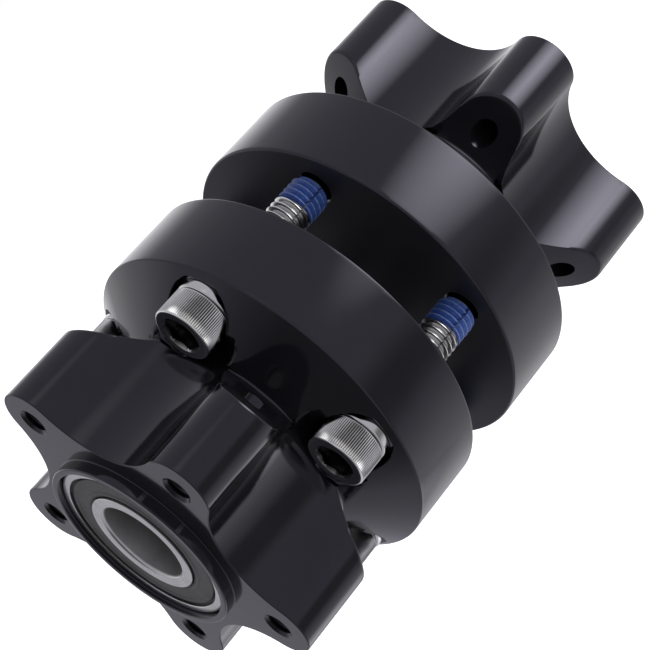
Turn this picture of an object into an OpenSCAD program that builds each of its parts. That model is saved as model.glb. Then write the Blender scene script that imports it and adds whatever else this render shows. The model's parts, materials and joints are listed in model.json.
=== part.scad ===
// Two-piece clamp-together wheel hub, five lobes a side, on two sealed ball bearings.
// Millimetres. The origin is the hub's centre, +Y runs along the axle, and one lobe points to +Z.

/* [Hub halves] */
// Length over the two pilot bosses
hub_len = 168.4; // [160:0.1:190]
// Clear gap between the two clamping flanges
clamp_gap = 19.6; // [8:0.1:24]
// Diameter of each clamping flange
flange_d = 104.6; // [104:0.1:110]
// Width of each flange's cylindrical rim
rim_w = 23.9; // [20:0.1:26]
// Diameter of the pilot boss that centres a brake disc or pulley
boss_d = 55.86; // [55:0.01:58]
// Height of the pilot boss above the lobe faces
boss_h = 3.43; // [2:0.01:5]
// Bore of the barrel between the bearing seat and the flange
barrel_bore_d = 30; // [29.6:0.1:34]

/* [Lobes] */
// Number of lobes, and of clamp screws between them
lobes = 5; // [4:1:5]
// Bolt circle diameter of the threaded lobe holes
lobe_pcd = 82.55; // [80:0.05:84]
// Radius of each lobe's round tip
lobe_r = 9.5; // [8:0.1:10]
// Radius of the scooped valley between two lobes
valley_r = 24; // [22:0.1:26]
// Distance from the axis to the bottom of a valley
valley_floor_r = 32.5; // [31:0.1:33]
// Diameter of the threaded hole in each lobe
lobe_hole_d = 6.8; // [5:0.1:8]
// Distance from the pilot boss face to the back corner of a lobe
lobe_back = 27.1; // [20:0.1:30]

/* [Groove] */
// Radius of the crease at the bottom of the groove
crease_r = 35.2; // [34:0.1:37]
// Distance from the pilot boss face to the crease
crease_at = 38.8; // [36:0.1:40]
// How far the lobe side of the groove bows into the lobe
groove_bow = 0.75; // [0.2:0.05:1.5]

/* [Clamp screws] */
// Bolt circle diameter of the clamp screws
screw_pcd = 83; // [82:0.1:84]
// Diameter of the screw shank
shank_d = 11.11; // [9:0.01:12]
// Diameter of the screw head
head_d = 16.66; // [15:0.01:17]
// Height of the screw head
head_h = 8.9; // [8:0.1:11]
// Hexagon socket size across the flats
socket_af = 9.53; // [8:0.01:10]
// Depth of the hexagon socket
socket_depth = 5.6; // [4:0.1:6]
// Length of the screw under its head
shank_len = 46.4; // [40:0.1:48]
// Clearance hole diameter in the left flange
clear_hole_d = 11.5; // [11.2:0.1:12]
// Thread hole diameter in the right flange
tapped_hole_d = 9.6; // [9:0.1:10]
// Distance from the pilot boss face to the floor of a screw pocket
pocket_floor = 49.2; // [48:0.1:51]
// Radius of a screw pocket
pocket_r = 9.8; // [9.2:0.1:10.2]
// Radius of the wider scoop at the mouth of a screw pocket
scoop_r = 12.9; // [12:0.1:13.2]
// Distance from the pilot boss face to the floor of the scoop
scoop_floor = 43.5; // [42:0.1:45]
// Washer diameter
washer_d = 17; // [16:0.1:17.5]
// Washer thickness
washer_t = 2.6; // [2:0.1:3]
// Length of the thread-locking patch
patch_len = 7.8; // [5:0.1:10]

/* [Bearings] */
// Bearing bore, which takes the axle
bearing_bore = 25; // [20:0.1:25]
// Bearing outside diameter
bearing_od = 52; // [50:0.1:52]
// Bearing width
bearing_w = 15; // [14:0.1:15]
// Depth of the bearing face below the pilot boss face
bearing_recess = 1.4; // [0.5:0.1:3]
// Number of balls
balls = 9; // [7:1:9]
// Ball diameter
ball_d = 7.94; // [7.5:0.01:7.94]
// Pitch circle diameter of the balls
ball_pcd = 39; // [38.8:0.1:39.2]
// Outside diameter of the tube between the two inner rings
spacer_od = 28; // [27:0.1:28.4]
// Bore of the tube between the two inner rings
spacer_bore = 25.4; // [25.2:0.1:26]

/* [Hidden] */
$fn = 96;

// Overlaps that keep two cuts, or a cut and a face, from meeting exactly
eps = 0.01;
over = 1;
step = 360 / lobes;
// The first lobe points to +Z once a half lies along the axle
first_lobe = -90;
first_screw = first_lobe + step / 2;

half_len = (hub_len - clamp_gap) / 2;
flange_r = flange_d / 2;
rim_at = half_len - rim_w;
edge_r = 0.8;
lobe_circle_r = lobe_pcd / 2;
screw_circle_r = screw_pcd / 2;
valley_centre_r = valley_floor_r + valley_r;
// The lobe tips stay just inside the turned outline, so the back corner's round shows on them
lobe_tip_gap = 0.3;
lobe_limit_r = lobe_circle_r + lobe_r + lobe_tip_gap;
lobe_corner_r = 2.2;
crease_round = 1.4;
lobe_hole_depth = 38;
lobe_hole_mouth = 0.9;
clear_hole_mouth = 0.4;
tapped_hole_mouth = 1.2;
// Clears the inner ring and the seal behind the shoulder that stops the outer ring
shoulder_d = 44;
shoulder_relief = 2;
seat_depth = bearing_recess + bearing_w;
screw_seat = pocket_floor - washer_t;

ring_round = 1;
race_clear = 0.1;
race_r = ball_d / 2 + race_clear;
ball_circle_r = ball_pcd / 2;
outer_land_r = 21.9;
inner_land_r = 17;
seal_seat_r = 23.35;
seal_lip_r = 16.25;
inner_shoulder_r = 16.1;
seal_seat_depth = 2;
seal_face = 0.5;
seal_groove = 1.2;
seal_face_r = 22.5;
land_depth = 2.6;
cage_half_w = 4.8;
cage_in_r = 18.6;
cage_out_r = 20.4;

function unit(p) = p / norm(p);

// Points of the arc that rounds the corner b between the neighbours a and c
function rounded(a, b, c, r, n = 4) =
    let (
        u = unit(a - b),
        v = unit(c - b),
        half = acos(u * v) / 2,
        mid = b + unit(u + v) * r / sin(half),
        from = b + u * r / tan(half) - mid,
        to = b + v * r / tan(half) - mid,
        sweep = atan2(from.x * to.y - from.y * to.x, from * to),
        start = atan2(from.y, from.x)
    )
    [for (i = [0 : n]) mid + r * [cos(start + sweep * i / n), sin(start + sweep * i / n)]];

// Points of a shallow bow from a to b, which bulges by sag to the left of the way from a to b
function bowed(a, b, sag, n = 8) =
    let (d = b - a, side = [-d.y, d.x] / norm(d))
    [for (i = [0 : n]) a + d * i / n + side * 4 * sag * (i / n) * (1 - i / n)];

// ---- Placing: a half is drawn along +Z from its pilot boss face, then laid along the axle ----

module left_side() {
    translate([0, -hub_len / 2, 0]) rotate([-90, 0, 0]) children();
}

module right_side() {
    mirror([0, 1, 0]) left_side() children();
}

module ring_of(count, radius, first = 0) {
    for (i = [0 : count - 1])
        rotate(first + 360 * i / count) translate([radius, 0, 0]) children();
}

module at_screw(i) {
    left_side() rotate(first_screw - step * i) translate([screw_circle_r, 0, 0]) children();
}

// ---- Hub halves ----

// Outline of the lobed barrel: round lobes joined by scooped valleys
module star() {
    reach = valley_r + lobe_r;
    half = step / 2;
    // Where a valley's arc runs into the lobe's round tip
    lobe_at = lobe_circle_r * [cos(half), sin(half)];
    meet = lobe_at + ([valley_centre_r, 0] - lobe_at) * lobe_r / reach;
    difference() {
        polygon([for (i = [0 : lobes - 1], p = [[meet.x, -meet.y], meet, lobe_at])
            let (a = first_screw + step * i)
            [p.x * cos(a) - p.y * sin(a), p.x * sin(a) + p.y * cos(a)]]);
        ring_of(lobes, valley_centre_r, first_screw) circle(valley_r, $fn = 180);
    }
    ring_of(lobes, lobe_circle_r, first_lobe) circle(lobe_r);
}

// Turned outline: pilot boss, lobes, groove and flange
module turned_blank() {
    boss_top = [boss_d / 2, 0];
    boss_foot = [boss_d / 2, boss_h];
    lobe_front = [lobe_limit_r, boss_h];
    lobe_rear = [lobe_limit_r, lobe_back];
    crease = [crease_r, crease_at];
    rim_front = [flange_r, rim_at];
    rim_rear = [flange_r, half_len];
    wall = bowed(lobe_rear, crease, -groove_bow);
    rotate_extrude($fn = 180)
        polygon(concat(
            [[0, 0]],
            rounded([0, 0], boss_top, boss_foot, edge_r / 2),
            [boss_foot, lobe_front],
            rounded(lobe_front, lobe_rear, wall[2], lobe_corner_r),
            [for (i = [2 : len(wall) - 2]) wall[i]],
            rounded(wall[len(wall) - 2], crease, rim_front, crease_round),
            rounded(crease, rim_front, rim_rear, edge_r),
            rounded(rim_front, rim_rear, [0, half_len], edge_r),
            [[0, half_len]]
        ));
}

// Everything outside the star, from the lobe faces to the bottom of the groove
module valleys() {
    translate([0, 0, boss_h]) linear_extrude(crease_at - boss_h) difference() {
        circle(flange_r + over);
        star();
    }
}

module lobe_hole() {
    r = lobe_hole_d / 2;
    translate([0, 0, -over]) cylinder(r = r, h = lobe_hole_depth + over);
    translate([0, 0, boss_h - eps])
        cylinder(r1 = r + lobe_hole_mouth, r2 = r, h = lobe_hole_mouth);
}

// Screw pockets and their scoops, which stop at the core between the valleys
module screw_pockets() {
    start = crease_at - over;
    translate([0, 0, start]) difference() {
        ring_of(lobes, screw_circle_r, first_screw) union() {
            cylinder(r = pocket_r, h = pocket_floor - start);
            cylinder(r = scoop_r, h = scoop_floor - start);
        }
        translate([0, 0, -over]) cylinder(r = valley_floor_r, h = half_len, $fn = 180);
    }
}

// A flange hole with a countersunk mouth on the clamping face
module flange_hole(d, mouth) {
    translate([0, 0, pocket_floor - over]) cylinder(d = d, h = half_len - pocket_floor + 2 * over);
    translate([0, 0, half_len - mouth]) cylinder(d1 = d, d2 = d + 2 * mouth + eps, h = mouth + eps);
}

module hub_half(hole_d, hole_mouth) {
    difference() {
        turned_blank();
        valleys();
        ring_of(lobes, lobe_circle_r, first_lobe) lobe_hole();
        screw_pockets();
        ring_of(lobes, screw_circle_r, first_screw) flange_hole(hole_d, hole_mouth);
        translate([0, 0, -over]) cylinder(d = bearing_od, h = seat_depth + over, $fn = 180);
        cylinder(d = shoulder_d, h = seat_depth + shoulder_relief, $fn = 180);
        cylinder(d = barrel_bore_d, h = half_len + over, $fn = 180);
    }
}

module left_hub_half() {
    color("#2b2c30") left_side() hub_half(clear_hole_d, clear_hole_mouth);
}

module right_hub_half() {
    color("#303136") right_side() hub_half(tapped_hole_d, tapped_hole_mouth);
}

// ---- Clamp screws, their washers and their thread-locking patches ----

module clamp_screw(i) {
    head_r = head_d / 2;
    shank_r = shank_d / 2;
    rim = 0.6;
    under = [shank_r, head_h];
    color("#c9ccd1") at_screw(i) translate([0, 0, screw_seat - head_h]) difference() {
        rotate_extrude()
            polygon([
                [0, 0], [head_r - rim, 0], [head_r, rim], [head_r, head_h], under,
                [shank_r, head_h + shank_len - rim], [shank_r - rim, head_h + shank_len],
                [0, head_h + shank_len]
            ]);
        translate([0, 0, -over])
            cylinder(d = socket_af / cos(30), h = socket_depth + over, $fn = 6);
    }
}

module clamp_washer(i) {
    washer_r = washer_d / 2;
    hole_r = clear_hole_d / 2;
    color("#d4d6d9") at_screw(i) translate([0, 0, screw_seat])
        rotate_extrude()
            polygon(concat(
                [[hole_r, 0]],
                rounded([hole_r, 0], [washer_r, 0], [washer_r, washer_t], edge_r),
                [[washer_r, washer_t], [hole_r, washer_t]]
            ));
}

module thread_patch(i) {
    tip_gap = 0.6;
    skin = 0.12;
    top = screw_seat + shank_len - tip_gap - patch_len;
    color("#4c5fa8") at_screw(i) translate([0, 0, top]) difference() {
        cylinder(d = shank_d + 2 * skin, h = patch_len);
        translate([0, 0, -over]) cylinder(d = shank_d, h = patch_len + 2 * over);
    }
}

// ---- Bearings: drawn along +Z from the outer face of the bearing ----

module left_bearing_at() {
    left_side() translate([0, 0, bearing_recess]) children();
}

module right_bearing_at() {
    mirror([0, 1, 0]) left_bearing_at() children();
}

module raceway() {
    translate([0, 0, bearing_w / 2])
        rotate_extrude() translate([ball_circle_r, 0]) circle(race_r);
}

module outer_ring() {
    r = bearing_od / 2;
    w = bearing_w;
    color("#c4c6c8") difference() {
        rotate_extrude()
            polygon(concat(
                [[seal_seat_r, 0]],
                rounded([seal_seat_r, 0], [r, 0], [r, w], ring_round),
                rounded([r, 0], [r, w], [seal_seat_r, w], ring_round),
                [
                    [seal_seat_r, w], [seal_seat_r, w - seal_seat_depth],
                    [outer_land_r, w - seal_seat_depth],
                    [outer_land_r, seal_seat_depth], [seal_seat_r, seal_seat_depth]
                ]
            ));
        raceway();
    }
}

module inner_ring() {
    r = bearing_bore / 2;
    w = bearing_w;
    color("#cfd1d3") difference() {
        rotate_extrude()
            polygon(concat(
                rounded([r, w], [r, 0], [inner_shoulder_r, 0], ring_round),
                [
                    [inner_shoulder_r, 0], [inner_shoulder_r, seal_seat_depth],
                    [inner_land_r, land_depth], [inner_land_r, w - land_depth],
                    [inner_shoulder_r, w - seal_seat_depth], [inner_shoulder_r, w]
                ],
                rounded([inner_shoulder_r, w], [r, w], [r, 0], ring_round)
            ));
        raceway();
    }
}

module seal() {
    color("#303033") rotate_extrude()
        polygon([
            [seal_lip_r, seal_face], [seal_face_r, seal_face], [seal_face_r, seal_groove],
            [seal_seat_r, seal_groove], [seal_seat_r, seal_seat_depth], [seal_lip_r, seal_seat_depth]
        ]);
}

module inboard_seal() {
    translate([0, 0, bearing_w]) mirror([0, 0, 1]) seal();
}

module ball_cage() {
    color("#b08d4a") translate([0, 0, bearing_w / 2]) difference() {
        translate([0, 0, -cage_half_w]) cylinder(r = cage_out_r, h = 2 * cage_half_w);
        translate([0, 0, -cage_half_w - over]) cylinder(r = cage_in_r, h = 2 * (cage_half_w + over));
        ring_of(balls, cage_in_r - over) rotate([0, 90, 0])
            cylinder(r = race_r, h = cage_out_r - cage_in_r + 2 * over);
    }
}

module ball(i) {
    color("#d9dbdd") translate([0, 0, bearing_w / 2])
        rotate(360 * i / balls) translate([ball_circle_r, 0, 0]) sphere(d = ball_d, $fn = 48);
}

module axle_spacer_tube() {
    color("#9a9ca0") left_side() translate([0, 0, seat_depth]) difference() {
        cylinder(d = spacer_od, h = hub_len - 2 * seat_depth);
        translate([0, 0, -over]) cylinder(d = spacer_bore, h = hub_len);
    }
}

left_hub_half();
right_hub_half();
axle_spacer_tube();

left_bearing_at() outer_ring();  // left_outer_ring
left_bearing_at() inner_ring();  // left_inner_ring
left_bearing_at() ball_cage();  // left_ball_cage
left_bearing_at() seal();  // left_outer_seal
left_bearing_at() inboard_seal();  // left_inner_seal

right_bearing_at() outer_ring();  // right_outer_ring
right_bearing_at() inner_ring();  // right_inner_ring
right_bearing_at() ball_cage();  // right_ball_cage
right_bearing_at() seal();  // right_outer_seal
right_bearing_at() inboard_seal();  // right_inner_seal

for (i = [1 : balls]) {
    left_bearing_at() ball(i);
    right_bearing_at() ball(i);
}

for (i = [1 : lobes]) {
    clamp_screw(i);
    clamp_washer(i);
    thread_patch(i);
}
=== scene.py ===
"""Looks of the two-piece wheel hub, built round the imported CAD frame.

Lengths are in millimetres until a mesh is made; Blender itself works in metres.
The hub's axle line is the Y axis, the hub's centre is the origin, and the left half is at -Y.
"""
import json
import math

import bmesh
import bpy
from mathutils import Matrix, Vector

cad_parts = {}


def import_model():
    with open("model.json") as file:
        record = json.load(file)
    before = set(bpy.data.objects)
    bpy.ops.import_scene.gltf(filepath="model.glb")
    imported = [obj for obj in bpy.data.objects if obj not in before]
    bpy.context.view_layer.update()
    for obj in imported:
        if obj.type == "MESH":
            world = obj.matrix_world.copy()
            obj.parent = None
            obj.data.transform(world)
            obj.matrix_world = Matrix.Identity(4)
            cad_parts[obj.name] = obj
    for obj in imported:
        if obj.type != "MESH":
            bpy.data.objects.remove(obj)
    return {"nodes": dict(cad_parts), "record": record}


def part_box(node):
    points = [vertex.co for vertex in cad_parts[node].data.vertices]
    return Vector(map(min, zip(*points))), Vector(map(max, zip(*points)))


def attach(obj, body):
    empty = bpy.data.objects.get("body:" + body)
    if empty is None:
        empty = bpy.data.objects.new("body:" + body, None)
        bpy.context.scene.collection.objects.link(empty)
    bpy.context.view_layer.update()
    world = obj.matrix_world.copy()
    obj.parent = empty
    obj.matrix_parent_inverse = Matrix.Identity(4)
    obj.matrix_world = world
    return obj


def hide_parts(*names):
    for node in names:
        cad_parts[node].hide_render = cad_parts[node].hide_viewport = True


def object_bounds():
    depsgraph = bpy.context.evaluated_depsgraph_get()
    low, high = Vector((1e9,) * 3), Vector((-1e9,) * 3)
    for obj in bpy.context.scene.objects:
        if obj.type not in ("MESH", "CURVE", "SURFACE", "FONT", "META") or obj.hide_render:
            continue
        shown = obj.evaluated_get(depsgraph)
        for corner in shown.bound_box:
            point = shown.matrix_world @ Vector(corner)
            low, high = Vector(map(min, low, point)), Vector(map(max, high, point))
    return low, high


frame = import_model()
cad_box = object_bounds()

MM = 0.001
TURN = 2 * math.pi
LOBES = 5
STEP = TURN / LOBES
SMOOTH_ANGLE = math.radians(32)
SCREW_SMOOTH_ANGLE = math.radians(38)
THREAD_SMOOTH_ANGLE = math.radians(40)
CARD_COLOUR = (0.97, 0.97, 1.0)
ROOM_COLOUR, ROOM_STRENGTH = (0.91, 0.90, 1.0), 0.545

# From the hub's middle plane to its end, and to the mating face of each flange
HUB_END = cad_box[1].y / MM
HALF_GAP = 9.8

# Hub half, measured inwards from the face of its pilot boss
HALF_LENGTH = HUB_END - HALF_GAP
BOSS_R, BOSS_H = 27.93, 3.43
LOBE_CIRCLE_R, LOBE_R = 41.275, 9.5
VALLEY_R, VALLEY_CENTRE_R = 24.0, 56.5
LOBE_BACK_R, LOBE_BACK = 51.075, 27.1
CREASE_R, CREASE, CREASE_ROUND = 35.2, 38.8, 1.4
GROOVE_BOW = 0.75
FLANGE_R, RIM = 52.3, 50.5
SCREW_CIRCLE_R = 41.5
CORE_R, POCKET_R, POCKET_FLOOR, POCKET_SOFT = 32.5, 9.8, 49.2, 0.3
SCOOP_R, SCOOP_FLOOR, SCOOP_SOFT = 12.9, 43.5, 1.4
SEAT_R, SEAT_DEPTH = 26.0, 16.4
SHOULDER_R, SHOULDER_RELIEF = 22.0, 2.0
BARREL_BORE_R = 15.0
LOBE_HOLE_R, LOBE_HOLE_DEPTH, LOBE_HOLE_MOUTH, LOBE_THREAD = 3.4, 38.0, 0.8, 1.411
CLEAR_HOLE_R, CLEAR_HOLE_MOUTH = 5.75, 0.4
TAPPED_HOLE_R, TAPPED_HOLE_MOUTH = 4.8, 0.5

# Clamp screws, measured back from the front of the head
HEAD_R, HEAD_H = 8.33, 8.9
KNURL_R, TOOTH_DEPTH = HEAD_R - 0.06, 0.32
KNURL_START, KNURL_END = 0.6, 8.35
SOCKET_AF, SOCKET_DEPTH = 9.53, 5.6
SOCKET_CORNER_R = SOCKET_AF / 2 / math.cos(TURN / 12)
SHANK_R, THREAD_PITCH = 5.555, 1.814
THREAD_DEPTH = 0.6 * THREAD_PITCH
TIP_CHAMFER = 1.1
PATCH_SWELL = 0.07
WASHER_T = 2.6

# Bearings
RING_R, RING_BORE_R = 26, 12.5
BALL_R, BALL_CIRCLE_R = 3.97, 19.5


# ---------------------------------------------------------------- mesh helpers

def new_object(name, verts, faces, smooth_angle=SMOOTH_ANGLE):
    """A mesh object from points in millimetres, cleaned and with its sharp edges marked."""
    weld, sliver = 2e-7, 1e-7
    mesh = bpy.data.meshes.new(name)
    mesh.from_pydata([Vector(v) * MM for v in verts], [], faces)
    bm = bmesh.new()
    bm.from_mesh(mesh)
    bmesh.ops.remove_doubles(bm, verts=bm.verts, dist=weld)
    bmesh.ops.dissolve_degenerate(bm, edges=bm.edges, dist=sliver)
    bmesh.ops.recalc_face_normals(bm, faces=bm.faces)
    bm.to_mesh(mesh)
    bm.free()
    obj = bpy.data.objects.new(name, mesh)
    bpy.context.scene.collection.objects.link(obj)
    shade(obj, smooth_angle)
    return obj


def shade(obj, smooth_angle=SMOOTH_ANGLE):
    """Smooth faces, with an edge kept sharp where they turn by more than the angle."""
    obj.data.shade_smooth()
    obj.data.set_sharp_from_angle(angle=smooth_angle)


def weight_normals(obj):
    """Keeps the large faces flat beside small rounded edges."""
    modifier = obj.modifiers.new("weighted_normals", "WEIGHTED_NORMAL")
    modifier.keep_sharp = True
    modifier.weight = 80


def grid_faces(columns, rows, closed_rows=True):
    """Quads of a grid of points, columns round the axis and rows along the profile."""
    faces = []
    last = rows if closed_rows else rows - 1
    for i in range(columns):
        a, b = i * rows, ((i + 1) % columns) * rows
        for j in range(last):
            k = (j + 1) % rows
            faces.append((a + j, a + k, b + k, b + j))
    return faces


def unit(p):
    """A flat vector brought to length 1."""
    size = math.hypot(*p)
    return (p[0] / size, p[1] / size)


def rounded(a, b, c, r, n=4):
    """Points of the arc that rounds corner b between a and c, n + 1 of them at every radius."""
    ua = (a[0] - b[0], a[1] - b[1])
    uc = (c[0] - b[0], c[1] - b[1])
    la, lc = math.hypot(*ua), math.hypot(*uc)
    if r <= 0 or la < 1e-6 or lc < 1e-6:
        return [b] * (n + 1)
    ua, uc = unit(ua), unit(uc)
    dot = max(-1, min(1, ua[0] * uc[0] + ua[1] * uc[1]))
    half = math.acos(dot) / 2
    if half < 0.02 or half > math.pi / 2 - 0.01:
        return [b] * (n + 1)
    r = min(r, 0.45 * min(la, lc) * math.tan(half))
    out = unit((ua[0] + uc[0], ua[1] + uc[1]))
    mid = (b[0] + out[0] * r / math.sin(half), b[1] + out[1] * r / math.sin(half))
    back = r / math.tan(half)
    p = (b[0] + ua[0] * back - mid[0], b[1] + ua[1] * back - mid[1])
    q = (b[0] + uc[0] * back - mid[0], b[1] + uc[1] * back - mid[1])
    sweep = math.atan2(p[0] * q[1] - p[1] * q[0], p[0] * q[0] + p[1] * q[1])
    start = math.atan2(p[1], p[0])
    return [(mid[0] + r * math.cos(start + sweep * i / n),
             mid[1] + r * math.sin(start + sweep * i / n)) for i in range(n + 1)]


def round_corners(corners, n=4):
    """A closed outline from (radius, along, rounding) corners."""
    points = []
    for i, (x, y, r) in enumerate(corners):
        before, after = corners[i - 1], corners[(i + 1) % len(corners)]
        if r > 0:
            points += rounded(before[:2], (x, y), after[:2], r, n)
        else:
            points.append((x, y))
    return points


def lathe(name, outline, segments=128, centre=(0, 0), flip=1, start=0.0):
    """Turns a closed (radius, along) outline about a line along Y through centre (x, z)."""
    verts = []
    for i in range(segments):
        a = TURN * i / segments
        for r, y in outline:
            verts.append((centre[0] + r * math.cos(a), start + flip * y,
                          centre[1] + r * math.sin(a)))
    return new_object(name, verts, grid_faces(segments, len(outline)))


# ---------------------------------------------------------------- materials

def material(name):
    """An empty procedural material: its node tree and its Principled shader."""
    mat = bpy.data.materials.new(name)
    mat.use_nodes = True
    nodes = mat.node_tree.nodes
    return mat, mat.node_tree, nodes["Principled BSDF"]


def object_coords(tree):
    """Position on the piece, in metres."""
    return tree.nodes.new("ShaderNodeTexCoord").outputs["Object"]


def noise(tree, scale, detail):
    """A 0..1 noise in object coordinates."""
    tex = tree.nodes.new("ShaderNodeTexNoise")
    tex.inputs["Scale"].default_value = scale
    tex.inputs["Detail"].default_value = detail
    tree.links.new(object_coords(tree), tex.inputs["Vector"])
    return tex.outputs["Fac"]


def ramp(tree, source, low, high, start=0.3, end=0.7):
    """Maps a 0..1 value on to a blend of two colours or grey levels."""
    node = tree.nodes.new("ShaderNodeValToRGB")
    node.color_ramp.elements[0].position = start
    node.color_ramp.elements[1].position = end
    for element, value in zip(node.color_ramp.elements, (low, high)):
        colour = (value,) * 3 if isinstance(value, float) else value
        element.color = (*colour, 1)
    tree.links.new(source, node.inputs["Fac"])
    return node.outputs["Color"]


def maths(tree, operation, first, second=None):
    """A Math node: first is a socket, and second a socket, a number or nothing."""
    node = tree.nodes.new("ShaderNodeMath")
    node.operation = operation
    tree.links.new(first, node.inputs[0])
    if isinstance(second, (int, float)):
        node.inputs[1].default_value = second
    elif second is not None:
        tree.links.new(second, node.inputs[1])
    return node.outputs[0]


def mixed(tree, share, first, second):
    """Two colours blended by share, each of them a socket or a plain colour."""
    node = tree.nodes.new("ShaderNodeMix")
    node.data_type = "RGBA"
    tree.links.new(share, node.inputs["Factor"])
    for key, colour in (("A", first), ("B", second)):
        if isinstance(colour, tuple):
            node.inputs[key].default_value = (*colour, 1)
        else:
            tree.links.new(colour, node.inputs[key])
    return node.outputs["Result"]


def stored(tree, name):
    """The value that the mesh stores at each point under this name."""
    node = tree.nodes.new("ShaderNodeAttribute")
    node.attribute_name = name
    return node.outputs["Fac"]


def radius_from_axle(tree):
    """Distance from the axle line, in metres, for marks left by turning."""
    flat = tree.nodes.new("ShaderNodeVectorMath")
    flat.operation = "MULTIPLY"
    flat.inputs[1].default_value = (1, 0, 1)
    tree.links.new(object_coords(tree), flat.inputs[0])
    length = tree.nodes.new("ShaderNodeVectorMath")
    length.operation = "LENGTH"
    tree.links.new(flat.outputs["Vector"], length.inputs[0])
    return length.outputs["Value"]


def from_middle(tree):
    """Distance from the hub's middle plane as a share of 10 mm, to find the mating faces."""
    along = tree.nodes.new("ShaderNodeSeparateXYZ")
    tree.links.new(object_coords(tree), along.inputs[0])
    return maths(tree, "MULTIPLY", maths(tree, "ABSOLUTE", along.outputs["Y"]), 100)


def bump(tree, shader, source, strength, distance):
    """Raises the surface by source, over a distance in metres."""
    node = tree.nodes.new("ShaderNodeBump")
    node.inputs["Strength"].default_value = strength
    node.inputs["Distance"].default_value = distance
    tree.links.new(source, node.inputs["Height"])
    tree.links.new(node.outputs["Normal"], shader.inputs["Normal"])


def set_inputs(shader, **values):
    """Plain numbers on a shader's sockets, with _ for the space in a name."""
    for key, value in values.items():
        shader.inputs[key.replace("_", " ")].default_value = value


def black_anodised():
    """Polished billet aluminium, anodised gloss black: deep, with a soft depth in the dye.

    The two mating faces are matt, so that they don't mirror the screws."""
    mat, tree, shader = material("black_anodised")
    dye = ramp(tree, noise(tree, 60, 4), (0.0036, 0.0034, 0.0042), (0.0058, 0.0055, 0.0066))
    tree.links.new(dye, shader.inputs["Base Color"])
    gloss = maths(tree, "MAXIMUM", ramp(tree, noise(tree, 900, 3), 0.09, 0.13),
                  ramp(tree, from_middle(tree), 0.5, 0.0, 0.985, 1.0))
    tree.links.new(gloss, shader.inputs["Roughness"])
    set_inputs(shader, IOR=1.55, Metallic=0.0)
    shader.inputs["Specular Tint"].default_value = (0.90, 0.87, 1.0, 1)
    bump(tree, shader, noise(tree, 2600, 2), 0.04, 0.00002)
    return mat


def steel(name, colour, roughness):
    """Bright steel, with small changes of colour and gloss."""
    mat, tree, shader = material(name)
    darker, wear = 0.90, 0.05
    dark = tuple(c * darker for c in colour)
    tree.links.new(ramp(tree, noise(tree, 150, 4), dark, colour), shader.inputs["Base Color"])
    tree.links.new(ramp(tree, noise(tree, 1800, 3), roughness, roughness + wear),
                   shader.inputs["Roughness"])
    set_inputs(shader, Metallic=1.0)
    return mat


def screw_steel():
    """Bright zinc on the screws, darkened by painted shade in the sockets, the knurl and the
    threads.
    """
    mat, tree, shader = material("screw_steel")
    bright = ramp(tree, noise(tree, 500, 4), (0.80, 0.795, 0.77), (0.88, 0.875, 0.85))
    # This near-black colour is painted shade for the socket, knurl valleys, thread roots and the
    # part behind the head.
    painted_shade = (0.045, 0.043, 0.040)
    tree.links.new(mixed(tree, stored(tree, "painted_shade_share"), bright, painted_shade), shader.inputs["Base Color"])
    tree.links.new(ramp(tree, noise(tree, 1800, 3), 0.13, 0.21), shader.inputs["Roughness"])
    set_inputs(shader, Metallic=1.0)
    return mat


def ground_steel():
    """Bearing rings: ground faces with faint rings left by the wheel, and a duller bore."""
    mat, tree, shader = material("ground_steel")
    tree.links.new(ramp(tree, noise(tree, 200, 3), (0.54, 0.535, 0.52), (0.66, 0.655, 0.64)),
                   shader.inputs["Base Color"])
    rings = tree.nodes.new("ShaderNodeTexNoise")
    rings.noise_dimensions = "1D"
    rings.inputs["Scale"].default_value = 9000
    rings.inputs["Detail"].default_value = 2
    tree.links.new(radius_from_axle(tree), rings.inputs["W"])
    bore = maths(tree, "MULTIPLY", radius_from_axle(tree), 50)
    gloss = maths(tree, "MAXIMUM", ramp(tree, rings.outputs["Fac"], 0.16, 0.30),
                  ramp(tree, bore, 0.42, 0.0, 0.63, 0.65))
    tree.links.new(gloss, shader.inputs["Roughness"])
    bump(tree, shader, rings.outputs["Fac"], 0.12, 0.00003)
    set_inputs(shader, Metallic=1.0)
    return mat


def seal_rubber():
    """Moulded nitrile over a steel stiffener: charcoal, satin, faintly grained, with near-black
    painted shade in bands at its inner and outer edges, where it meets the rings.
    """
    mat, tree, shader = material("seal_rubber")
    grey = ramp(tree, noise(tree, 120, 4), (0.030, 0.030, 0.029), (0.046, 0.046, 0.044))
    reach = maths(tree, "MULTIPLY", radius_from_axle(tree), 40)
    middle = maths(tree, "MULTIPLY", ramp(tree, reach, 0.0, 1.0, 0.668, 0.678),
                   ramp(tree, reach, 1.0, 0.0, 0.893, 0.900))
    # The near-black bands at the inner and outer edges are painted shade for the gaps against the
    # rings.
    painted_gap_shade = (0.003, 0.003, 0.003)
    tree.links.new(mixed(tree, middle, painted_gap_shade, grey), shader.inputs["Base Color"])
    grain = noise(tree, 2400, 3)
    tree.links.new(ramp(tree, grain, 0.42, 0.58), shader.inputs["Roughness"])
    bump(tree, shader, grain, 0.25, 0.00006)
    return mat


def cage_polymer():
    """Brown moulded cage, unevenly coloured."""
    mat, tree, shader = material("cage_polymer")
    cloud = noise(tree, 300, 4)
    tree.links.new(ramp(tree, cloud, (0.22, 0.12, 0.05), (0.33, 0.19, 0.08)),
                   shader.inputs["Base Color"])
    tree.links.new(ramp(tree, cloud, 0.45, 0.6), shader.inputs["Roughness"])
    return mat


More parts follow.
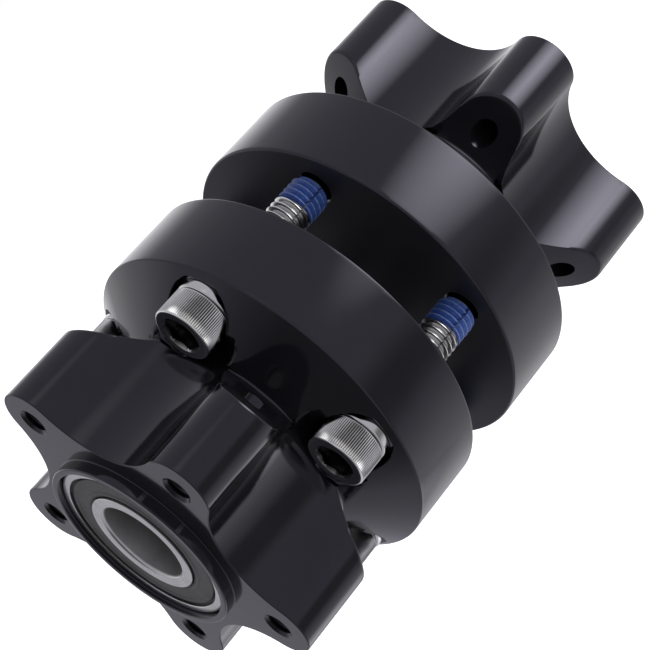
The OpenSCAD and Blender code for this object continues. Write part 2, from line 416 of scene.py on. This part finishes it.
def thread_patch():
    """Dry blue thread lock: thick in the roots, rubbed down to the steel on the crests."""
    mat, tree, shader = material("thread_patch")
    speckle = noise(tree, 1500, 4)
    blue = ramp(tree, speckle, (0.016, 0.052, 0.23), (0.042, 0.105, 0.34))
    bare = (0.62, 0.63, 0.68)
    rub = maths(tree, "MULTIPLY", stored(tree, "crest"), ramp(tree, speckle, 0.1, 0.6))
    tree.links.new(mixed(tree, rub, blue, bare), shader.inputs["Base Color"])
    tree.links.new(rub, shader.inputs["Metallic"])
    tree.links.new(ramp(tree, speckle, 0.35, 0.6), shader.inputs["Roughness"])
    bump(tree, shader, speckle, 0.3, 0.00008)
    return mat


def white_floor():
    """Matt white that gives off a little light, so that it stays even."""
    mat, tree, shader = material("white_floor")
    tree.links.new(ramp(tree, noise(tree, 3, 2), 0.88, 0.90), shader.inputs["Base Color"])
    set_inputs(shader, Roughness=0.8, Emission_Strength=0.9)
    shader.inputs["Emission Color"].default_value = (1, 1, 1, 1)
    return mat


def card_cloth(name, radiance, half_sides, surround, core):
    """Cloth of a studio card: it glows in the middle and fades to its surroundings."""
    mat, tree, shader = material(name)
    peak = max(radiance, surround)
    shape = tree.nodes.new("ShaderNodeMapping")
    shape.inputs["Scale"].default_value = (1 / half_sides[0], 1 / half_sides[1], 1)
    falloff = tree.nodes.new("ShaderNodeTexGradient")
    falloff.gradient_type = "SPHERICAL"
    tree.links.new(object_coords(tree), shape.inputs["Vector"])
    tree.links.new(shape.outputs["Vector"], falloff.inputs["Vector"])
    edge = tuple(c * surround / peak for c in ROOM_COLOUR)
    middle = tuple(c * radiance / peak for c in CARD_COLOUR)
    tree.links.new(ramp(tree, falloff.outputs["Fac"], edge, middle, 0.0, 1 - core),
                   shader.inputs["Emission Color"])
    set_inputs(shader, Roughness=1.0, Emission_Strength=peak)
    shader.inputs["Base Color"].default_value = (0, 0, 0, 1)
    shader.inputs["Specular IOR Level"].default_value = 0.0
    return mat


MATERIALS = {
    "black_anodised": black_anodised(),
    "bearing_steel": ground_steel(),
    "ball_steel": steel("ball_steel", (0.80, 0.80, 0.82), 0.05),
    "cage_polymer": cage_polymer(),
    "seal_rubber": seal_rubber(),
    "spacer_aluminium": steel("spacer_aluminium", (0.45, 0.45, 0.47), 0.35),
    "screw_steel": screw_steel(),
    "washer_steel": steel("washer_steel", (0.72, 0.715, 0.70), 0.10),
    "thread_patch": thread_patch(),
}


def place(obj, node, slot, body="hub_shell"):
    """Lets a piece stand for a CAD node, with the finish of its slot."""
    obj.data.materials.clear()
    obj.data.materials.append(MATERIALS[slot])
    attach(obj, body)
    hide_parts(node)


# ---------------------------------------------------------------- hub halves

def lobe_tangent_angle(inset=0.0):
    """Angle, seen from the axle, where a lobe's tip runs into the valley."""
    half = STEP / 2
    across, along = unit((VALLEY_CENTRE_R * math.cos(half) - LOBE_CIRCLE_R,
                          VALLEY_CENTRE_R * math.sin(half)))
    r = LOBE_R - inset
    return math.atan2(r * along, LOBE_CIRCLE_R + r * across)


def star_radius(a, inset=0.0):
    """Radius of the lobed outline at angle a from a lobe, brought in by inset."""
    a = abs((a + STEP / 2) % STEP - STEP / 2)
    if a <= lobe_tangent_angle(inset):
        across = LOBE_CIRCLE_R * math.sin(a)
        return LOBE_CIRCLE_R * math.cos(a) + math.sqrt((LOBE_R - inset) ** 2 - across ** 2)
    b = STEP / 2 - a
    across = VALLEY_CENTRE_R * math.sin(b)
    return VALLEY_CENTRE_R * math.cos(b) - math.sqrt((VALLEY_R + inset) ** 2 - across ** 2)


def wall_along(r):
    """Where the lobe side of the groove lies at radius r: a shallow bow, found by halving."""
    if r <= CREASE_R:
        return CREASE
    d = (CREASE_R - LOBE_BACK_R, CREASE - LOBE_BACK)
    size = math.hypot(*d)
    low, high = 0.0, 1.0
    for _ in range(40):
        t = (low + high) / 2
        x = LOBE_BACK_R + d[0] * t + d[1] / size * -4 * GROOVE_BOW * t * (1 - t)
        low, high = (t, high) if x > r else (low, t)
    t = (low + high) / 2
    return LOBE_BACK + d[1] * t + d[0] / size * 4 * GROOVE_BOW * t * (1 - t)


def cone_along(r):
    """Where the flange side of the groove lies at radius r."""
    if r <= CREASE_R:
        return CREASE
    return CREASE + (r - CREASE_R) * (RIM - CREASE) / (FLANGE_R - CREASE_R)


def column_angles():
    """Angles of the mesh columns of all lobes, close together where the outline turns.

    Both sweeps go a little past the point where the lobe's arc meets the valley's."""
    half = STEP / 2
    lobe_sweep, lobe_steps = math.radians(97.7), 26
    valley_sweep, valley_steps = math.radians(61.7), 30
    closest = 2e-5
    angles = {0.0, half, lobe_tangent_angle()}
    for i in range(1, lobe_steps):
        t = lobe_sweep * i / lobe_steps
        angles.add(math.atan2(LOBE_R * math.sin(t), LOBE_CIRCLE_R + LOBE_R * math.cos(t)))
    for i in range(1, valley_steps):
        t = valley_sweep * i / valley_steps
        angles.add(half - math.atan2(VALLEY_R * math.sin(t),
                                     VALLEY_CENTRE_R - VALLEY_R * math.cos(t)))
    one_side = sorted(angles)
    kept = [one_side[0]]
    for a in one_side[1:]:
        if a - kept[-1] > closest:
            kept.append(a)
    both = [-a for a in reversed(kept[1:])] + kept[:-1]
    return [a + STEP * k for k in range(LOBES) for a in both]


def hub_column(a):
    """The closed outline of the half, as (radius, along), at angle a from a lobe."""
    edge, face_edge, fine = 0.8, 0.35, 0.3
    lobe_edge, valley_edge = 1.6, 0.35
    steps = 5
    star = star_radius(a)
    on_lobe = star > CREASE_R + 8
    points = rounded((SEAT_R, 0), (BOSS_R, 0), (BOSS_R, BOSS_H), 0.4)
    points += rounded((BOSS_R, 0), (BOSS_R, BOSS_H), (star, BOSS_H), fine)
    for i in range(steps):
        t = math.pi / 2 * i / (steps - 1)
        points.append((star_radius(a, face_edge * (1 - math.sin(t))),
                       BOSS_H + face_edge * (1 - math.cos(t))))
    back = wall_along(star)
    wall = [star + (CREASE_R - star) * i / 10 for i in range(11)]
    wall = [(r, wall_along(r)) for r in wall]
    points += [(star, BOSS_H + 2 + (back - BOSS_H - 4) * i / steps) for i in range(steps + 1)]
    back_edge = lobe_edge if on_lobe else valley_edge
    points += rounded((star, BOSS_H), (star, back), wall[2], back_edge, 5)
    points += wall[2:-2]
    crease, rim = (CREASE_R, CREASE), (FLANGE_R, RIM)
    points += rounded(wall[-2], crease, rim, CREASE_ROUND, 5)
    points += [(r, cone_along(r)) for r in (38, 41, 44, 47, 50)]
    points += rounded(crease, rim, (FLANGE_R, HALF_LENGTH), edge, 6)
    points += [(FLANGE_R, RIM + 1.5 + (HALF_LENGTH - RIM - 3) * i / (steps - 1))
               for i in range(steps)]
    points += rounded(rim, (FLANGE_R, HALF_LENGTH), (BARREL_BORE_R, HALF_LENGTH), edge, 6)
    points += rounded((FLANGE_R, HALF_LENGTH), (BARREL_BORE_R, HALF_LENGTH),
                      (BARREL_BORE_R, SEAT_DEPTH), 0.5)
    bore_end = SEAT_DEPTH + SHOULDER_RELIEF
    points += [(BARREL_BORE_R, bore_end), (SHOULDER_R, bore_end), (SHOULDER_R, SEAT_DEPTH),
               (SEAT_R, SEAT_DEPTH), (SEAT_R, 1.0)]
    points += rounded((SEAT_R, SEAT_DEPTH), (SEAT_R, 0), (BOSS_R, 0), 0.3)
    return points


def threaded_cutter(r, pitch, start, threaded_to, end, mouth):
    """Outline of a tapped hole's core, with ring grooves for the thread and a wide mouth."""
    depth = 0.4 * pitch
    outline = [(0.0, start - 2), (r + mouth, start - 2), (r + mouth, start), (r, start + mouth)]
    y = start + mouth + 0.4
    while y + pitch < threaded_to:
        outline += [(r, y), (r + depth, y + 0.45 * pitch), (r + depth, y + 0.55 * pitch),
                    (r, y + pitch - 0.02)]
        y += pitch
    outline += [(r, end), (0.0, end)]
    return outline


def pocket_cutter(name, turn, r, floor, soft, flip, start):
    """A round pocket about a screw, which stops at the core between the valleys.

    Its rim on the cone is rounded by soft, and the edge of its floor a little."""
    sides = 120
    floor_soft = 0.3
    out, side = (math.cos(turn), math.sin(turn)), (-math.sin(turn), math.cos(turn))
    rows = [(0.0, None), (r + soft + 0.2, None)]
    rows += [(r + soft * (1 - math.cos(t)), soft * (1 - math.sin(t)))
             for t in (1.4, 1.1, 0.8, 0.4, 0)]
    foot = [(r, floor - floor_soft), (r - floor_soft * 0.3, floor - floor_soft * 0.3),
            (r - floor_soft, floor), (0.0, floor)]
    verts = []
    for i in range(sides):
        a = TURN * i / sides
        column = []
        for reach, below in rows:
            p, q = SCREW_CIRCLE_R + reach * math.cos(a), reach * math.sin(a)
            surface = cone_along(math.hypot(p, q))
            depth = CREASE - 1 if below is None else min(surface + below, floor - 1)
            column.append((reach, depth))
        for reach, y in column + foot:
            p, q = SCREW_CIRCLE_R + reach * math.cos(a), reach * math.sin(a)
            grow = max(1.0, CORE_R / math.hypot(p, q))
            p, q = p * grow, q * grow
            verts.append((p * out[0] + q * side[0], start + flip * y, p * out[1] + q * side[1]))
    return new_object(name, verts, grid_faces(sides, len(rows + foot), closed_rows=False))


def cutters(hole_r, mouth, flip, start):
    """Lobe holes, screw pockets and screw holes, as one mesh per cut."""
    made = []
    thread_end = LOBE_BACK - 1.5
    for k in range(LOBES):
        lobe = math.pi / 2 - STEP * k
        centre = (LOBE_CIRCLE_R * math.cos(lobe), LOBE_CIRCLE_R * math.sin(lobe))
        outline = threaded_cutter(LOBE_HOLE_R, LOBE_THREAD, BOSS_H, thread_end,
                                  LOBE_HOLE_DEPTH, LOBE_HOLE_MOUTH)
        made.append(lathe(f"cut_lobe_{k}", outline, 64, centre, flip, start))
        screw_turn = lobe - STEP / 2
        for kind, r, floor, soft in (("pocket", POCKET_R, POCKET_FLOOR, POCKET_SOFT),
                                     ("scoop", SCOOP_R, SCOOP_FLOOR, SCOOP_SOFT)):
            made.append(pocket_cutter(f"cut_{kind}_{k}", screw_turn, r, floor, soft, flip, start))
        centre = (SCREW_CIRCLE_R * math.cos(screw_turn), SCREW_CIRCLE_R * math.sin(screw_turn))
        end = HALF_LENGTH
        outline = [(0, POCKET_FLOOR - 1), (hole_r, POCKET_FLOOR - 1), (hole_r, end - mouth),
                   (hole_r + mouth, end), (hole_r + mouth, end + 1), (0, end + 1)]
        made.append(lathe(f"cut_screw_{k}", outline, 64, centre, flip, start))
    return made


def hub_half(name, node, flip, hole_r, mouth):
    """One half, laid along the axle: flip is 1 for the left half and -1 for the right."""
    start = -flip * HUB_END
    columns = column_angles()
    verts = []
    rows = 0
    for a in columns:
        outline = hub_column(a)
        rows = len(outline)
        for r, y in outline:
            turn = math.pi / 2 - a
            verts.append((r * math.cos(turn), start + flip * y, r * math.sin(turn)))
    obj = new_object(name, verts, grid_faces(len(columns), rows))
    collection = bpy.data.collections.new(name + "_cutters")
    tools = cutters(hole_r, mouth, flip, start)
    for tool in tools:
        collection.objects.link(tool)
    modifier = obj.modifiers.new("holes", "BOOLEAN")
    modifier.operation = "DIFFERENCE"
    modifier.operand_type = "COLLECTION"
    modifier.collection = collection
    modifier.solver = "MANIFOLD"
    graph = bpy.context.evaluated_depsgraph_get()
    cut = bpy.data.meshes.new_from_object(obj.evaluated_get(graph))
    obj.modifiers.clear()
    obj.data = cut
    for tool in tools:
        bpy.data.objects.remove(tool)
    bpy.data.collections.remove(collection)
    shade(obj)
    weight_normals(obj)
    place(obj, node, "black_anodised")


# ---------------------------------------------------------------- clamp screws

def middle_of(node):
    """A round node's centre (x, z) and radius, and its two ends along the axle."""
    low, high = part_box(node)
    centre = ((low.x + high.x) / 2 / MM, (low.z + high.z) / 2 / MM)
    return centre, (high.x - low.x) / 2 / MM, low.y / MM, high.y / MM


def hex_radius(a, flats):
    """Radius of a hexagon at angle a, corners at multiples of 60 degrees."""
    sixth = TURN / 6
    return flats / 2 / math.cos((a % sixth) - sixth / 2)


def screw_head(name, centre, front):
    """Knurled socket head, from its front face back to its underside."""
    teeth, per_tooth = 84, 6
    columns = teeth * per_tooth
    mouth = SOCKET_CORNER_R + 0.25
    front_edge = [(HEAD_R - 0.95, 0.0)]
    front_edge += [(HEAD_R - 0.75 + 0.55 * math.sin(t), 0.4 - 0.4 * math.cos(t))
                   for t in (0.0, 0.4, 0.8, 1.2, 1.57)]
    knurl = ((0.6, 0.5), (1.0, KNURL_START), (1.0, 3.0), (1.0, 5.5), (1.0, KNURL_END),
             (0.5, KNURL_END + 0.2))
    back = [(HEAD_R - 0.12, KNURL_END + 0.25), (HEAD_R - 0.3, HEAD_H - 0.2),
            (HEAD_R - 0.6, HEAD_H), (SHANK_R + 0.6, HEAD_H), (0.0, HEAD_H)]
    verts = []
    rows = 0
    for i in range(columns):
        a = TURN * i / columns
        phase = (i % per_tooth) / per_tooth
        cut = TOOTH_DEPTH * (0.5 + 0.5 * math.cos(TURN * phase))
        flat = hex_radius(a, SOCKET_AF)
        chamfer = (mouth - flat) * 0.9
        column = [(0.0, SOCKET_DEPTH + 1.6), (flat * 0.55, SOCKET_DEPTH + 0.7),
                  (flat * 0.97, SOCKET_DEPTH), (flat, SOCKET_DEPTH - 0.15), (flat, chamfer + 0.5),
                  (flat, chamfer), (mouth, 0.0), (mouth + 0.3, 0.0)]
        column += front_edge + [(KNURL_R - cut * share, y) for share, y in knurl] + back
        rows = len(column)
        for r, y in column:
            verts.append((centre[0] + r * math.cos(a), front + y, centre[1] + r * math.sin(a)))
    faces = grid_faces(columns, rows, closed_rows=False)
    return new_object(name, verts, faces, SCREW_SMOOTH_ANGLE)


def thread_points(centre, start, end, swell, segments):
    """Points of a helical thread between two planes, with its rows in all and per turn."""
    pitch, crest = THREAD_PITCH, SHANK_R
    root = crest - THREAD_DEPTH
    profile = [(0.0, root), (0.06, root), (0.12, root + 0.12), (0.42, crest - 0.06),
               (0.46, crest), (0.58, crest), (0.62, crest - 0.06), (0.92, root + 0.12)]
    turns = int((end - start) / pitch) + 4
    first = end - (turns - 1.2) * pitch
    verts = []
    for i in range(segments):
        a = TURN * i / segments
        lead = pitch * i / segments
        column = [(0.0, start)]
        for t in range(turns):
            for along, r in profile:
                y = first + lead + (t + along) * pitch
                r += swell
                if y > end - TIP_CHAMFER:
                    r = min(r, crest - 0.1 - (y - end + TIP_CHAMFER) * 0.8)
                column.append((r, min(max(y, start), end)))
        column.append((0.0, end))
        for r, y in column:
            verts.append((centre[0] + r * math.cos(a), y, centre[1] + r * math.sin(a)))
    return verts, turns * len(profile) + 2, len(profile)


def threaded_rod(name, centre, start, end, swell=0.0):
    """A threaded length, closed at both ends; the seam joins each turn to the next."""
    segments = 72
    verts, rows, per_turn = thread_points(centre, start, end, swell, segments)
    faces = []
    for i in range(segments):
        a, b = i * rows, ((i + 1) % segments) * rows
        shift = per_turn if i == segments - 1 else 0
        low, high = b, b + rows - 1
        for j in range(rows - 1):
            p = min(max(b + j - shift, low), high)
            q = min(max(b + j + 1 - shift, low), high)
            face = list(dict.fromkeys((a + j, a + j + 1, q, p)))
            if len(face) > 2:
                faces.append(face)
    return new_object(name, verts, faces, THREAD_SMOOTH_ANGLE)


def screw(index):
    """A clamp screw, its head, plain shank and thread joined into one, and its blue patch."""
    node, patch_node = f"clamp_screw_{index}", f"thread_patch_{index}"
    centre, _, front, tip = middle_of(node)
    under = front + HEAD_H
    plain_end, neck_end, thread_start = under + 10, under + 10.8, under + 10.4
    plain_r, neck_r = SHANK_R - 0.05, SHANK_R - 0.7
    head = screw_head(f"screw_{index}", centre, front)
    shank = lathe("shank", [(0, under), (plain_r, under), (plain_r, plain_end),
                            (neck_r, neck_end), (0, neck_end)], 64, centre)
    rod = threaded_rod("rod", centre, thread_start, tip)
    join(head, [shank, rod])
    # Stores the painted shade for the head's recesses, thread roots and front face.
    mark_painted_shade(head, centre, front)
    place(head, node, "screw_steel")
    patch_start = middle_of(patch_node)[2]
    patch = threaded_rod(f"patch_{index}", centre, patch_start, tip, PATCH_SWELL)
    mark_crests(patch, centre)
    place(patch, patch_node, "thread_patch")


def store(obj, name, centre, value):
    """Stores value(radius, along) at each point of a round piece, kept within 0..1."""
    attribute = obj.data.attributes.new(name, "FLOAT", "POINT")
    for v in obj.data.vertices:
        r = math.hypot(v.co.x / MM - centre[0], v.co.z / MM - centre[1])
        attribute.data[v.index].value = max(0.0, min(1.0, value(r, v.co.y / MM)))


def mark_painted_shade(obj, centre, front):
    """Painted shade darkens a screw's socket, the part behind the head, the knurl's valleys, the
    thread's roots and the front face round the socket.
    """
    socket_edge = SOCKET_CORNER_R + 0.1

    def painted_shade(r, along):
        """How much painted shade a point gets, from 0 to 1."""
        y = along - front
        if y > HEAD_H + 0.1:
            return 0.5 * (SHANK_R - r) / THREAD_DEPTH
        if r < socket_edge and y > 0.95:
            return 0.8
        if y > KNURL_END + 0.3:
            return 1.0
        if socket_edge < r < HEAD_R - 0.7 and y < 0.01:
            return 0.5
        if KNURL_START - 0.1 < y < KNURL_END + 0.1:
            return (KNURL_R - r) / TOOTH_DEPTH
        return 0.0

    store(obj, "painted_shade_share", centre, painted_shade)


def mark_crests(obj, centre):
    """The patch is rubbed near the thread's crest, half way through at most."""
    rub_start, rub_width, most = 0.05, 0.03, 0.5
    store(obj, "crest", centre,
          lambda r, along: min(most, (r - SHANK_R - rub_start) / rub_width))


def join(target, others):
    """Moves the other meshes into the target's."""
    bm = bmesh.new()
    for obj in [target, *others]:
        bm.from_mesh(obj.data)
    bm.to_mesh(target.data)
    bm.free()
    for obj in others:
        bpy.data.objects.remove(obj)
    shade(target, SCREW_SMOOTH_ANGLE)


def washer(index):
    """A flat washer with its outer front edge well rounded."""
    node = f"clamp_washer_{index}"
    centre, r, front, _ = middle_of(node)
    outline = round_corners([(CLEAR_HOLE_R, 0, 0.2), (r, 0, 0.7), (r, WASHER_T, 0.25),
                             (CLEAR_HOLE_R, WASHER_T, 0.2)], 5)
    obj = lathe(f"washer_{index}", outline, 96, centre, 1, front)
    weight_normals(obj)
    place(obj, node, "washer_steel")


# ---------------------------------------------------------------- bearings

def raceway(land, outward, mid):
    """Arc of the ball groove between its two edges on the land."""
    steps = 14
    groove = BALL_R + 0.1
    reach = math.asin((land - BALL_CIRCLE_R) / groove)
    sweep = math.pi - 2 * reach if outward else -math.pi - 2 * reach
    turns = [reach + sweep * i / steps for i in range(steps + 1)]
    return [(BALL_CIRCLE_R + groove * math.sin(t), mid - groove * math.cos(t)) for t in turns]


def bearing(side, flip):
    """Rings and seals of one bearing, measured inwards from its outer face."""
    _, _, low, high = middle_of(f"{side}_outer_ring")
    start = low if flip > 0 else high
    width = high - low
    outer_land, inner_land, seal_seat, shoulder = 21.9, 17.0, 23.35, 16.1
    outer = rounded((seal_seat, 0), (RING_R, 0), (RING_R, width), 1.0, 6)
    outer += rounded((RING_R, 0), (RING_R, width), (seal_seat, width), 1.0, 6)
    outer += [(seal_seat, width), (seal_seat, width - 2), (outer_land, width - 2)]
    outer += reversed(raceway(outer_land, True, width / 2))
    outer += [(outer_land, 2), (seal_seat, 2), (seal_seat, 0.15), (seal_seat + 0.15, 0)]
    place(lathe(f"outer_ring_{side}", outer, 160, (0, 0), flip, start),
          f"{side}_outer_ring", "bearing_steel")
    inner = rounded((RING_BORE_R, width), (RING_BORE_R, 0), (shoulder, 0), 1.0, 6)
    inner += [(shoulder - 0.15, 0), (shoulder, 0.15), (shoulder, 2), (inner_land, 2.6)]
    inner += raceway(inner_land, False, width / 2)
    inner += [(inner_land, width - 2.6), (shoulder, width - 2), (shoulder, width)]
    inner += rounded((shoulder, width), (RING_BORE_R, width), (RING_BORE_R, 0), 1.0, 6)
    place(lathe(f"inner_ring_{side}", inner, 128, (0, 0), flip, start),
          f"{side}_inner_ring", "bearing_steel", "axle_side")
    seal = round_corners([
        (16.25, 0.75, 0.1), (16.9, 0.5, 0.15), (17.9, 0.5, 0.1), (18.1, 0.62, 0.1),
        (20.9, 0.62, 0.1), (21.1, 0.5, 0.1), (22.45, 0.5, 0.2), (22.6, 1.2, 0.1),
        (seal_seat, 1.2, 0), (seal_seat, 2, 0), (16.25, 2, 0.1)], 3)
    place(lathe(f"outer_seal_{side}", seal, 128, (0, 0), flip, start),
          f"{side}_outer_seal", "seal_rubber")
    place(lathe(f"inner_seal_{side}", seal, 128, (0, 0), -flip, start + flip * width),
          f"{side}_inner_seal", "seal_rubber")


def inner_pieces():
    """Balls, cages and the spacer tube keep their CAD shape."""
    for row in frame["record"]["subparts"]:
        obj, slot = frame["nodes"][row["node"]], row["material_slot"]
        if slot in ("ball_steel", "cage_polymer", "spacer_aluminium"):
            obj.data.materials.clear()
            obj.data.materials.append(MATERIALS[slot])
            shade(obj)


# ---------------------------------------------------------------- stage, light and camera

# Angles in degrees, distance and aim in metres, and a lens in millimetres
CAMERA_AZIMUTH, CAMERA_ELEVATION, CAMERA_ROLL = 62.56, 13.70, 42.36
CAMERA_DISTANCE = 0.5066
CAMERA_AIM = Vector((-0.00107, -0.00178, 0.00053))
CAMERA_LENS, SENSOR_WIDTH = 103.16, 36


def camera_axes():
    """Right, up and back directions of the camera."""
    a, e, roll = (math.radians(v) for v in (CAMERA_AZIMUTH, CAMERA_ELEVATION, CAMERA_ROLL))
    back = Vector((math.sin(a) * math.cos(e), -math.cos(a) * math.cos(e), math.sin(e)))
    right = Vector((0, 0, 1)).cross(back).normalized()
    up = back.cross(right)
    tilt = Matrix.Rotation(-roll, 3, back)
    return tilt @ right, tilt @ up, back


def camera():
    """The camera, aimed close to the hub's middle."""
    right, up, back = camera_axes()
    data = bpy.data.cameras.new("camera")
    data.lens, data.sensor_width = CAMERA_LENS, SENSOR_WIDTH
    data.clip_start, data.clip_end = 0.01, 100
    obj = bpy.data.objects.new("camera", data)
    bpy.context.scene.collection.objects.link(obj)
    turn = Matrix((right, up, back)).transposed().to_4x4()
    obj.matrix_world = Matrix.Translation(CAMERA_AIM + back * CAMERA_DISTANCE) @ turn
    bpy.context.scene.camera = obj


def seen_from_hub(azimuth, elevation):
    """Direction in the camera's own axes: azimuth 0 is towards it, 90 to its right."""
    right, up, back = camera_axes()
    a, e = math.radians(azimuth), math.radians(elevation)
    return (right * math.sin(a) * math.cos(e) + up * math.sin(e)
            + back * math.cos(a) * math.cos(e))


def quad(name, corners):
    """One four-cornered face."""
    mesh = bpy.data.meshes.new(name)
    mesh.from_pydata(corners, [], [(0, 1, 2, 3)])
    return bpy.data.objects.new(name, mesh)


def face_hub(obj, azimuth, elevation, distance):
    """Puts a card where the hub sees it, its face to the hub."""
    way = seen_from_hub(azimuth, elevation)
    up = camera_axes()[1]
    across = up.cross(way).normalized()
    basis = Matrix((across, way.cross(across), way)).transposed()
    obj.matrix_world = Matrix.Translation(way * distance) @ basis.to_4x4()


def card(name, azimuth, elevation, width, height, radiance, surround=ROOM_STRENGTH,
         distance=1.6, core=0.45):
    """A studio card or softbox that the polished faces mirror; its sides are in degrees."""
    x, y = (distance * math.tan(math.radians(span) / 2) for span in (width, height))
    obj = quad(name, [(-x, -y, 0), (x, -y, 0), (x, y, 0), (-x, y, 0)])
    obj.data.materials.append(card_cloth(name, radiance, (x, y), surround, core))
    face_hub(obj, azimuth, elevation, distance)
    obj.visible_camera = False
    obj.visible_shadow = False
    bpy.context.scene.collection.objects.link(obj)


def world():
    """White to the camera, and a soft grey room to everything else."""
    scene = bpy.context.scene
    scene.world = bpy.data.worlds.new("studio")
    scene.world.use_nodes = True
    tree = scene.world.node_tree
    tree.nodes.clear()
    out = tree.nodes.new("ShaderNodeOutputWorld")
    mix = tree.nodes.new("ShaderNodeMixShader")
    path = tree.nodes.new("ShaderNodeLightPath")
    room = tree.nodes.new("ShaderNodeBackground")
    seen = tree.nodes.new("ShaderNodeBackground")
    room.inputs["Color"].default_value = (*ROOM_COLOUR, 1)
    room.inputs["Strength"].default_value = ROOM_STRENGTH
    seen.inputs["Color"].default_value = (1, 1, 1, 1)
    seen.inputs["Strength"].default_value = 1.0
    tree.links.new(path.outputs["Is Camera Ray"], mix.inputs["Fac"])
    tree.links.new(room.outputs["Background"], mix.inputs[1])
    tree.links.new(seen.outputs["Background"], mix.inputs[2])
    tree.links.new(mix.outputs["Shader"], out.inputs["Surface"])


def stage():
    """A plain white floor, well below the hub."""
    size, drop = 30.0, 0.45
    floor = quad("floor", [(-size, -size, -drop), (size, -size, -drop), (size, size, -drop),
                           (-size, size, -drop)])
    floor.data.materials.append(white_floor())
    floor.visible_glossy = False
    bpy.context.scene.collection.objects.link(floor)


def lights():
    """Softboxes, pale walls and dark flags round the hub, as the camera sees them."""
    card("key", 59, 47.5, 50, 48, 6.2, distance=0.271, core=0.0)
    card("top_box", -14, 52, 28, 22, 0.9)
    card("backdrop", -166, 10, 70, 70, 1.15)
    card("right_wall", 128, -18, 80, 52, 0.8)
    card("right_strip", 136, -34, 44, 24, 1.5, surround=0.7, distance=1.55)
    card("left_wall", -122, -1, 70, 36, 0.8, distance=1.65)
    card("low_flag", -40, -55, 100, 90, 0.12)
    card("side_flag", 68, -8, 36, 62, 0.2)


def main():
    """Makes every piece, the camera, the room and the lights."""
    scene = bpy.context.scene
    scene.view_settings.view_transform = "Standard"
    scene.view_settings.look = "None"
    hub_half("hub_half_left", "left_hub_half", 1, CLEAR_HOLE_R, CLEAR_HOLE_MOUTH)
    hub_half("hub_half_right", "right_hub_half", -1, TAPPED_HOLE_R, TAPPED_HOLE_MOUTH)
    for index in range(1, LOBES + 1):
        screw(index)
        washer(index)
    bearing("left", 1)
    bearing("right", -1)
    inner_pieces()
    camera()
    world()
    stage()
    lights()


main()
